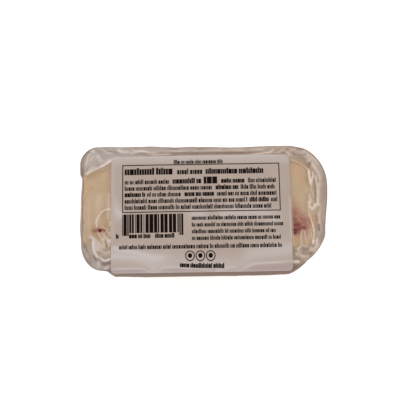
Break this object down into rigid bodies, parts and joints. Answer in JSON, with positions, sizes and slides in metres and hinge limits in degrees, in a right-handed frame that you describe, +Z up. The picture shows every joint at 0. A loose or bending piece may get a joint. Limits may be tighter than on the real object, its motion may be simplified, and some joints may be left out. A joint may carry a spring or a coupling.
{
  "type": "vacuum packed log of goat cheese with cherries",
  "caption": "Soft cheese log sealed in clear film, lying on its round pocket with a plain label on the flat web above.",
  "frame": {"origin": "under the middle of the pack's box, on the surface the pack lies on", "axes": "+X along the log, +Y towards the label's top edge, +Z up out of the label"},
  "size_m": [0.1014, 0.053, 0.0304],
  "materials": {
    "film": "clear glossy film, creased, cloudier where it is sealed",
    "cheese": "moist soft cheese, cream with pink stains beside the cherries",
    "cherry": "dark red chopped dried cherries",
    "label_paper": "satin white label, greyish pink over the cheese",
    "label_print": "brown black print, as plain bars and rings"
  },
  "bodies": {
    "root": {"pack": "film", "label": "label_paper"}
  },
  "joints": []
}
